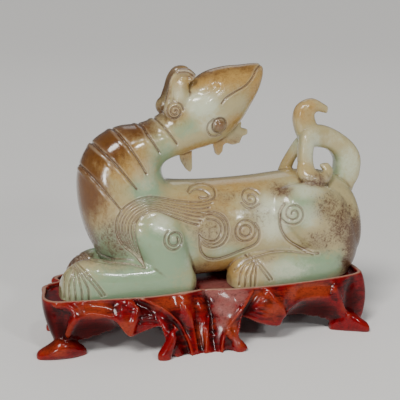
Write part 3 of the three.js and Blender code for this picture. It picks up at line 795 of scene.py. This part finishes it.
flows = [[(-40, 26 - 2.6 * k), (-35, 26.4 - 2.6 * k), (-30, 24.2 - 2.2 * k)] for k in range(4)]
for k in range(3):
    flows.append([(14 + k, 22.4 - 2.4 * k), (20, 21.4 - 2.4 * k), (27, 18.6 - 2.4 * k), (31, 16 - 1.6 * k)])
foldLine = [(-3.4, 30.1), (-2.1, 25.9), (-1.4, 21.2), (-0.7, 17.1), (-0.6, 9)]
crack = [(4.6, 28.5), (7.3, 29.9), (9.3, 30.6)]
lines.clear()
for slab, dx in ((nearHalf, 0), (farHalf, 2.1)):
    worn(shifted(ridges, dx), 0.8, -1.3, *slab)
    worn(shifted(flutes, dx), 0.8, -0.6, *slab)
    worn(shifted(broad, dx), 1.9, -1.2, *slab)
    worn(shifted(hollows, dx), 3.2, 1, *slab)
    worn(shifted(slits, dx), 0.6, 0.22, *slab)
    worn(shifted(flows, dx), 0.8, 0.4, *slab)
    # the wood falls away outside the two long ridges
    worn(shifted(ridges[:1], dx - 2.8, -2), 2.6, 1, *slab)
    worn(shifted(ridges[1:], dx + 2.8, -2), 2.6, 1, *slab)
worn([foldLine], 1.1, 0.7)
worn([crack], 0.4, 0.6)
knobs = [
    ((-13.5, -39.5, 24), 8.5, 1.7),
    ((7, -39, 22), 8, 0.8),
    ((-46, -37, 20), 6, 0.8),
    ((28, -38, 18), 7, 1),
]
swell(wood, knobs)
wear(wood)
thinOut(wood, stand["triangles"])


# a flat seat: nothing goes below this height
def flatten(obj, height):
    co = places(obj)
    co[:, 2] = np.maximum(co[:, 2], height * mm)
    moveTo(obj, co)


flatten(beast, jade["base"])
flatten(wood, 0)
for piece, node in ((beast, "jade_beast"), (wood, "carved_stand")):
    alone(piece)
    bpy.ops.object.shade_smooth()
    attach(piece, "root")
    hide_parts(node)

print("materials")


# a socket that takes part in sums, with numbers or other sockets on either side
class Wire:
    def __init__(self, tree, socket=None):
        self.tree = tree
        self.socket = socket

    def node(self, kind, settings, inputs, out=0):
        made = self.tree.nodes.new("ShaderNode" + kind)
        for key, value in settings.items():
            setattr(made, key, value)
        for key, value in inputs.items():
            if isinstance(value, Wire):
                self.tree.links.new(value.socket, made.inputs[key])
            else:
                made.inputs[key].default_value = value
        return Wire(self.tree, made.outputs[out])

    def math(self, operation, *values):
        return self.node("Math", {"operation": operation}, dict(enumerate(values)))

    def __add__(self, other):
        return self.math("ADD", self, other)

    def __sub__(self, other):
        return self.math("SUBTRACT", self, other)

    def __mul__(self, other):
        return self.math("MULTIPLY", self, other)

    def __rsub__(self, other):
        return self.math("SUBTRACT", other, self)

    __radd__ = __add__
    __rmul__ = __mul__

    # 0 below low, 1 above high, eased between
    def ramp(self, low, high):
        return self.node("MapRange", {"interpolation_type": "SMOOTHSTEP"}, {0: self, 1: low, 2: high})

    # another colour over this one, by share
    def mix(self, other, share):
        return self.node("Mix", {"data_type": "RGBA"}, {0: share, 6: self, 7: other}, out=2)

    def feed(self, shader, name):
        self.tree.links.new(self.socket, shader.inputs[name])


# a new material on the piece: its shader, and Object coordinates in millimetres
def paint(piece, fixed):
    material = bpy.data.materials.new(piece.name)
    material.use_nodes = True
    tree = material.node_tree
    shader = tree.nodes["Principled BSDF"]
    for name, value in fixed.items():
        shader.inputs[name].default_value = value
    piece.data.materials.clear()
    piece.data.materials.append(material)
    here = Wire(tree).node("TexCoord", {}, {}, out="Object")
    place = here.node("VectorMath", {"operation": "SCALE"}, {0: here, "Scale": 1000.0})
    return shader, place


def noise(place, scale, detail=4.0, rough=0.55, warp=0.0, stretch=(1, 1, 1)):
    spot = place
    if stretch != (1, 1, 1):
        spot = place.node("Mapping", {}, {"Vector": place, "Scale": stretch})
    inputs = {"Vector": spot, "Scale": scale, "Detail": detail, "Roughness": rough, "Distortion": warp}
    return place.node("TexNoise", {}, inputs)


def attribute(place, name):
    return place.node("Attribute", {"attribute_name": name}, {}, out="Fac")


evening = 30  # passes that even out the surroundings


# how far each point stands above its surroundings, in mm
def standing(obj, rounds):
    co = places(obj) / mm
    edges = np.empty(len(obj.data.edges) * 2, dtype=np.int64)
    obj.data.edges.foreach_get("vertices", edges)
    a, b = edges[0::2], edges[1::2]
    count = len(co)
    links = np.bincount(a, minlength=count) + np.bincount(b, minlength=count)
    soft = co.copy()
    for turn in range(rounds):
        total = np.stack([
            np.bincount(a, soft[b, k], count) + np.bincount(b, soft[a, k], count) for k in range(3)
        ], 1)
        soft = 0.5 * soft + 0.5 * total / links[:, None]
    return ((co - soft) * normals(obj)).sum(1)


def keep(obj, name, values):
    layer = obj.data.attributes.new(name, "FLOAT", "POINT")
    layer.data.foreach_set("value", np.asarray(values, np.float32))


# how strongly a tint lies on each point, from its table of spots
def spots(obj, rows, bothSides):
    co = places(obj) / mm - middle
    if bothSides:
        co[:, 1] = -np.abs(co[:, 1])
    total = np.zeros(len(co))
    for x, y, z, rx, ry, rz, strength in rows:
        d = ((co[:, 0] - x) / rx) ** 2 + ((co[:, 1] - y) / ry) ** 2 + ((co[:, 2] - z) / rz) ** 2
        total = np.maximum(total, strength * np.exp(-(d**1.5)))
    return total


jadeLook = {
    "celadon": (0.25, 0.36, 0.215, 1),
    "cream": (0.43, 0.36, 0.18, 1),
    "milkyAndHighlight": (0.62, 0.65, 0.48, 1),
    "honey": (0.44, 0.23, 0.04, 1),
    "russet": (0.12, 0.038, 0.003, 1),
    "taupe": (0.19, 0.125, 0.085, 1),
    "dark": (0.06, 0.018, 0.009, 1),
    "brown": (0.085, 0.03, 0.01, 1),
    "pale": (0.68, 0.6, 0.42, 1),
    "lipAt": 1.05,  # mm from the middle of a line
}
# where each tint lies: [x, y, z, reach in x, y and z, strength], in the tables' millimetres
jadeTints = {
    "russet": [
        [-62, 0, 84, 16, 34, 22, 1.15], [-52, 0, 105, 20, 34, 15, 1.1], [-34, 0, 113, 15, 26, 9, 1],
        [-61, 0, 62, 7, 28, 20, 0.75], [-16, 0, 118, 10, 20, 7, 0.6], [8, 0, 139, 17, 13, 6, 0.65],
        [28, 0, 141, 12, 13, 5, 0.6], [10.8, -14, 112, 4.2, 6, 4.2, 0.9], [-17, -8, 132, 3.4, 5, 8, 0.9],
        [-9, -8, 141.5, 9, 5, 3, 0.9], [-1, -8, 138, 3, 5, 3, 0.8],
    ],
    "honey": [
        [-42, -6, 98, 20, 32, 15, 0.9], [-52, 0, 76, 12, 32, 18, 0.6], [16, 0, 137, 27, 16, 11, 1.3],
        [33, 0, 130, 10, 14, 16, 1.1], [22, -10, 112, 13, 9, 6, 0.8], [-12, -12, 118, 7, 8, 7, 0.6],
        [6, 0, 98, 22, 18, 7, 1], [63, 0, 116, 12, 10, 10, 0.75], [-8, -8, 136, 9, 8, 9, 0.5],
        [0, -20, 72, 22, 16, 11, 0.6], [24, -22, 57, 10, 16, 12, 0.5], [20, -14, 81, 28, 16, 7, 0.7],
        [58, -6, 86, 20, 20, 7, 0.5], [42, -20, 77, 9, 14, 7, 0.5], [14, -18, 37, 22, 20, 7, 0.8],
        [18, -24, 36, 6, 14, 10, 0.6], [-74, -18, 38, 6, 14, 12, 0.4], [-4, -24, 33, 7, 12, 7, 0.4],
        [-40, -22, 72, 8, 14, 8, 0.35], [61, -12, 80, 8, 10, 5, 0.6], [54, 0, 88, 7, 8, 10, 0.5],
    ],
    # patina spots; the row at the chest's foot (-48, -22, 56) is painted shade
    "patinaAndShade": [
        [66, -22, 67, 13, 16, 10, 0.7], [76, -20, 58, 12, 24, 14, 0.85], [84, -14, 48, 10, 30, 18, 1.15],
        [62, -24, 50, 12, 14, 9, 0.65], [87, -14, 36, 13, 26, 12, 1.3], [36, -18, 84, 9, 10, 5, 0.75],
        [43, -20, 78, 7, 10, 6, 0.85], [28, -22, 66, 10, 12, 9, 0.5], [2, -22, 62, 16, 14, 14, 0.55],
        [88, 12, 56, 12, 22, 24, 1], [20, 20, 60, 24, 14, 14, 0.6], [-48, -22, 56, 12, 14, 16, 0.75],
        [24, 0, 100, 10, 4, 6, 0.5], [20, -10, 110, 14, 7, 4, 0.4], [-64, 4, 40, 12, 9, 11, 1.1],
        [-58, -6, 52, 8, 20, 12, 0.8], [-6, 0, 89, 5, 6, 7, 0.6], [64, -15, 80, 9, 7, 5, 1.2],
        [0, -26, 33, 7, 12, 11, 0.85], [18, -22, 56, 9, 10, 8, 0.55], [62, -6, 92, 5, 8, 6, 0.5],
        [12, -20, 76, 18, 10, 6, 0.5], [30, -24, 42, 14, 10, 4, 0.5],
    ],
    # dark brown on the ears and the far paw; the last row, under the belly, is painted shade
    "dark": [
        [-9, 9, 134, 14, 6, 15, 1.4], [-17, -6, 134, 2.6, 6, 12, 0.8], [-8, -5, 143, 8, 5, 2, 0.6],
        [-62, 6, 41, 14, 8, 9, 0.55], [-16, 3, 118, 5, 5, 6, 0.6], [8, 0, 32, 30, 20, 4, 0.8],
    ],
    "green": [
        [2, -8, 121, 9, 10, 5, 0.5], [-24, -24, 50, 18, 16, 18, 1], [-42, -22, 33, 40, 14, 13, 1.1],
        [-46, 0, 50, 15, 32, 16, 1], [-22, 0, 95, 12, 22, 15, 0.9], [56, -24, 35, 26, 16, 10, 0.9],
        [26, -24, 64, 9, 12, 8, 0.4], [84, 0, 86, 10, 10, 12, 0.6], [-30, -20, 82, 10, 14, 9, 0.8],
        [50, -22, 68, 16, 14, 14, 0.6], [64, 0, 98, 12, 10, 8, 0.5], [-8, -10, 112, 8, 10, 6, 0.5],
        [-2, -22, 84, 14, 16, 6, 0.4], [12, -24, 46, 16, 12, 6, 0.5],
    ],
    # milky jade; the first two rows, on the cheek, are a painted highlight
    "milkyAndHighlight": [
        [2, -10, 123, 10, 12, 8, 1], [7, -12, 114, 9, 10, 6, 0.7], [-30, -18, 90, 8, 14, 10, 0.6],
        [37, -24, 64, 11, 12, 14, 1.1], [56, -26, 64, 9, 12, 8, 0.7], [60, -24, 76, 8, 12, 5, 0.6],
        [-24, -29, 66, 8, 10, 6, 0.8], [88, -4, 86, 8, 9, 13, 0.7], [65, -8, 93, 7, 9, 14, 0.95],
        [79, 0, 101, 12, 9, 8, 0.5], [56, -24, 78, 10, 14, 7, 0.7], [42, -30, 36, 16, 10, 7, 0.7],
        [10, -24, 46, 9, 12, 5, 0.5], [-10, -8, 130, 4, 8, 6, 0.7], [-8, -28, 44, 6, 8, 8, 0.5],
    ],
}


def dressJade(piece):
    fixed = {
        "Specular IOR Level": 0.3, "Coat Weight": 0.65, "Coat Roughness": 0.09,
        "Subsurface Weight": 0.2, "Subsurface Scale": 0.004,
    }
    shader, place = paint(piece, fixed)
    shader.inputs["Subsurface Radius"].default_value = (1.0, 0.8, 0.5)
    cloudy = noise(place, 0.045, 5, 0.6, 0.6)
    mottle = noise(place, 0.16, 6, 0.65, 1.2)
    patchy = noise(place, 0.4, 6, 0.7, 0.8)
    streaky = noise(place, 0.34, 6, 0.75, 0.4, (1, 1, 0.3))
    fine = noise(place, 0.9, 5, 0.7)
    grit = noise(place, 2.6, 3, 0.6)
    broken = (mottle - 0.5) * 0.7 + (patchy - 0.5) * 0.9
    green = (attribute(place, "green") * 1.15 + (cloudy - 0.5) * 1.2 + broken).ramp(0.05, 0.9)
    honey = attribute(place, "honey") + (cloudy - 0.5) * 0.5 + broken + (streaky - 0.5) * 0.5
    honey = honey.ramp(0.05, 1.0)
    russet = (attribute(place, "russet") + (patchy - 0.5) * 0.4 + (streaky - 0.5) * 0.7).ramp(0.05, 0.95)
    milkyAndHighlight = (attribute(place, "milkyAndHighlight") + broken).ramp(0.1, 1.0)
    line = attribute(place, "line")
    low = attribute(place, "low")
    body = place.node("RGB", {}, {})
    body.socket.default_value = jadeLook["cream"]
    body = body.mix(jadeLook["celadon"], green)
    # milky jade, with a painted highlight on the cheek
    body = body.mix(jadeLook["milkyAndHighlight"], milkyAndHighlight * 0.85)
    body = body.mix(jadeLook["honey"], honey * 0.75)
    body = body.mix(jadeLook["russet"], russet * 0.95)
    # dark veins in the skin and brown specks of the worn patches
    vein = noise(place, 0.11, 7, 0.62, 2.2) - 0.5
    veins = (1 - (vein.math("ABSOLUTE", vein) * 26).ramp(0, 1)) * (honey * 0.5 + russet * 0.4)
    body = body.mix(jadeLook["brown"], veins * 0.5)
    flecks = streaky.ramp(0.5, 0.75) * 0.35 + grit.ramp(0.55, 0.75) * 0.3
    body = body.mix(jadeLook["brown"], flecks * (russet + honey * 0.4))
    # patina, and painted shade at the chest's foot
    patinaAndShadeMask = attribute(place, "patinaAndShade")
    speck = (patinaAndShadeMask * 0.9 + (fine - 0.5) * 1.7 + (grit - 0.5) * 0.8 + (patchy - 0.5) * 1.3).ramp(0.45, 0.9)
    body = body.mix(jadeLook["taupe"], (patinaAndShadeMask * 0.9 + broken).ramp(0.1, 0.9) * 0.7)
    body = body.mix(jadeLook["brown"], speck * 0.85)
    body = body.mix(jadeLook["dark"], (attribute(place, "dark") + (fine - 0.5) * 0.5).ramp(0.15, 0.9) * 0.85)
    # the carved parts have gathered a little dirt round their lines
    body = body.mix(jadeLook["taupe"], (1 - line.ramp(0.4, 3.2)) * (patchy * 1.4).ramp(0.45, 1.0) * 0.4)
    # brown in the hollows, part dirt and part painted shade; along every line a stained edge that also
    # paints the groove's shade, a bright worn bottom and a raised lip
    stainAndShade = (1 - line.ramp(0.2, 1.1)) * (0.3 + fine * 1.1)
    body = body.mix(jadeLook["brown"], stainAndShade * 0.65)
    body = body.mix(jadeLook["brown"], (low * -1).ramp(0.12, 0.6) * (0.45 + mottle * 0.6))
    body = body.mix(jadeLook["pale"], (1 - line.ramp(0.02, 0.3)) * 0.6)
    away = line - jadeLook["lipAt"]
    lip = (1 - away.math("ABSOLUTE", away) * 1.7).ramp(0, 1)
    # the lip is paler: a painted highlight on each line's raised edge
    body = body.mix(jadeLook["pale"], lip * patchy.ramp(0.35, 0.7) * 0.35)
    body = body.mix(jadeLook["pale"], low.ramp(0.22, 0.7) * 0.3)
    body.feed(shader, "Base Color")
    (0.16 + speck * 0.3 + stainAndShade * 0.18 + (fine - 0.5) * 0.08).feed(shader, "Roughness")
    height = (fine - 0.5) * 0.07 + (grit - 0.5) * 0.04 - speck * 0.15 + (mottle - 0.5) * 0.5 + lip * 0.35
    bump = place.node("Bump", {}, {"Strength": 0.35, "Distance": 0.001, "Height": height})
    bump.feed(shader, "Normal")


woodLook = {
    "deep": (0.022, 0.0004, 0.0006, 1),
    "red": (0.205, 0.0015, 0.0045, 1),
    "orange": (0.33, 0.044, 0.012, 1),
    "mauve": (0.28, 0.1, 0.085, 1),
    "pale": (0.5, 0.34, 0.24, 1),
}
woodTints = {
    "orange": [
        [-7, -42, 9, 5, 10, 9, 0.7], [-62, -36, 26, 14, 12, 6, 0.9], [-46, -38, 16, 5, 12, 7, 0.8],
        [-22, -38, 27, 14, 12, 5, 0.9], [-6, -38, 24, 8, 12, 7, 0.6], [32, -38, 20, 10, 12, 10, 0.8],
        [54, -36, 25, 18, 12, 6, 1], [8, -42, 12, 4, 12, 7, 0.9], [-80, -26, 6, 12, 12, 6, 0.9],
        [-26, -44, 3, 5, 10, 5, 0.5], [0, -42, 14, 3, 10, 6, 0.6], [12, -44, 5, 4, 10, 4, 0.6],
        [-15, -42, 12, 4, 10, 9, 0.5], [26, -38, 26, 12, 10, 5, 0.7], [82, -33, 5, 6, 10, 5, 0.3],
    ],
    # mauve where the light reflects off worn flat parts: a duller patch with a painted reflection
    "mauve": [
        [10, -36, 27, 11, 12, 5, 1], [6, -38, 21, 7, 12, 6, 1], [3, -36, 29, 9, 14, 4, 1],
        [4, -40, 14, 3.5, 10, 5, 0.8], [10, -44, 5, 4, 8, 5, 0.5], [8, -20, 27.7, 14, 14, 2, 0.9],
    ],
    "shade": [
        [-84, -20, 16, 8, 20, 14, 1], [-36, -38, 24, 6, 10, 6, 0.7], [-20, -42, 5, 3.5, 8, 7, 0.5],
        [18, -38, 18, 6, 10, 6, 0.7], [80, -28, 16, 6, 14, 12, 0.8], [-62, -24, 14, 24, 12, 12, 1.2],
        [56, -24, 13, 22, 12, 11, 1.2], [-3, -36, 25, 2, 12, 6, 0.5],
    ],
}


def dressWood(piece):
    fixed = {"Specular IOR Level": 0.05, "Coat Roughness": 0.13}
    shader, place = paint(piece, fixed)
    cloudy = noise(place, 0.07, 4, 0.6, 0.8)
    grain = noise(place, 0.55, 6, 0.65, 0.4, (0.16, 1, 1))
    pores = noise(place, 2.4, 3, 0.6, 0.0, (0.2, 1, 1))
    low = attribute(place, "low")
    figure = noise(place, 0.5, 6, 0.7, 0.5)
    orange = (attribute(place, "orange") + (cloudy - 0.5) * 0.9 + (grain - 0.5) * 0.9).ramp(0.3, 0.95)
    mauve = (attribute(place, "mauve") + (figure - 0.5) * 1.4).ramp(0.25, 0.95)
    body = place.node("RGB", {}, {})
    body.socket.default_value = woodLook["red"]
    # the dark figure of the wood, darker in the hollows as painted shade
    depth = 1.15 - cloudy * 1.1 - low * 0.6 + (0.5 - grain) * 1.2
    body = body.mix(woodLook["deep"], depth.ramp(0.35, 0.95))
    body = body.mix(woodLook["orange"], orange * 0.7)
    shade = (attribute(place, "shade") + (cloudy - 0.5) * 0.6).ramp(0.2, 0.9)
    body = body.mix(woodLook["deep"], shade * 0.85)
    # mauve patches: a painted reflection on the duller worn parts
    body = body.mix(woodLook["mauve"], mauve * 0.85)
    # painted shade: the hollows darker
    body = body.mix(woodLook["deep"], (low * -1).ramp(0.2, 1.3) * 0.5)
    body = body.mix(woodLook["deep"], pores.ramp(0.5, 0.72) * 0.5)
    body = body.mix(woodLook["deep"], (figure + (grain - 0.5) * 0.5).ramp(0.5, 0.7) * 0.55)
    body = body.mix(woodLook["orange"], low.ramp(0.2, 0.9) * 0.4)
    body = body.mix(woodLook["pale"], attribute(place, "lip") * 0.6)
    body.feed(shader, "Base Color")
    (0.2 + mauve * 0.25 + (grain - 0.5) * 0.15).feed(shader, "Roughness")
    (0.5 - shade * 0.4).feed(shader, "Coat Weight")
    height = (grain - 0.5) * 0.16 + (pores - 0.5) * 0.04 + (cloudy - 0.5) * 0.6
    bump = place.node("Bump", {}, {"Strength": 0.4, "Distance": 0.001, "Height": height})
    bump.feed(shader, "Normal")


# Most tints lie on both flanks, but the patina and painted shade, the dark spots and mauve only where their
# rows say.
for name, rows in jadeTints.items():
    keep(beast, name, spots(beast, rows, name not in ("patinaAndShade", "dark")))
keep(beast, "low", standing(beast, evening))
keep(beast, "line", nearestLine(beast, jadeLines))
for name, rows in woodTints.items():
    keep(wood, name, spots(wood, rows, name != "mauve"))
keep(wood, "low", standing(wood, evening))
woodZ = places(wood)[:, 2] / mm
keep(wood, "lip", np.clip((woodZ - stand["rim"] + stand["lipBelow"]) / stand["lipBlend"], 0, 1))
dressJade(beast)
dressWood(wood)

print("camera, floor and light")
look = {
    "azimuth": -17.0,  # degrees round from the front, and up
    "elevation": 13.5,
    "distance": 0.6,
    "target": (0.00087, 0.00106, 0.06992),
    "sensor": 36,
    "lens": 101.07,
}
around, above = math.radians(look["azimuth"]), math.radians(look["elevation"])
backwards = Vector((
    math.sin(around) * math.cos(above),
    -math.cos(around) * math.cos(above),
    math.sin(above),
))
camera = bpy.data.objects.new("camera", bpy.data.cameras.new("camera"))
bpy.context.scene.collection.objects.link(camera)
camera.location = Vector(look["target"]) + backwards * look["distance"]
camera.rotation_euler = backwards.to_track_quat("Z", "Y").to_euler()
camera.data.sensor_width = look["sensor"]
camera.data.lens = look["lens"]
camera.data.clip_start = 0.01
bpy.context.scene.camera = camera

room = {
    "floorSize": 40,
    "floor": (0.9, 0.89, 0.87, 1),
    "floorRoughness": 0.7,
    "sky": (0.78, 0.8, 0.82, 1),
    "skyStrength": 0.2,
}
bpy.ops.mesh.primitive_plane_add(size=room["floorSize"])
floor = bpy.context.object
floor.name = "floor"
paper = bpy.data.materials.new("paper")
paper.use_nodes = True
paperShader = paper.node_tree.nodes["Principled BSDF"]
paperShader.inputs["Base Color"].default_value = room["floor"]
paperShader.inputs["Roughness"].default_value = room["floorRoughness"]
floor.data.materials.append(paper)


def hang(light, facing):
    holder = bpy.data.objects.new(light.name, light)
    bpy.context.scene.collection.objects.link(holder)
    holder.rotation_euler = facing.to_track_quat("Z", "Y").to_euler()
    return holder


def lamp(name, place, aim, size, power):
    light = bpy.data.lights.new(name, "AREA")
    light.size = size
    light.energy = power
    hang(light, Vector(place) - Vector(aim)).location = place


def sun(name, towards, spread, power, colour):
    light = bpy.data.lights.new(name, "SUN")
    light.angle = math.radians(spread)
    light.energy = power
    light.color = colour
    hang(light, Vector(towards))


# name, place, aim and size in metres, power in watts
lamps = [
    ["window", (-0.6, -0.8, 0.26), (0, 0, 0.08), 0.11, 2],
    ["side", (0.17, -0.8, 0.48), (0, 0, 0.04), 0.08, 1.7],
    ["front", (0, -0.75, 0.85), (0, 0, 0.06), 0.08, 1.3],
    ["rim", (0.3, 0.9, 0.8), (0, 0, 0.08), 0.5, 0.6],
]
sun("key", (-0.55, -0.65, 1.05), 18, 2.2, (1, 0.98, 0.95))
for row in lamps:
    lamp(*row)
world = bpy.data.worlds.new("room")
world.use_nodes = True
sky = world.node_tree.nodes["Background"]
sky.inputs["Color"].default_value = room["sky"]
sky.inputs["Strength"].default_value = room["skyStrength"]
bpy.context.scene.world = world
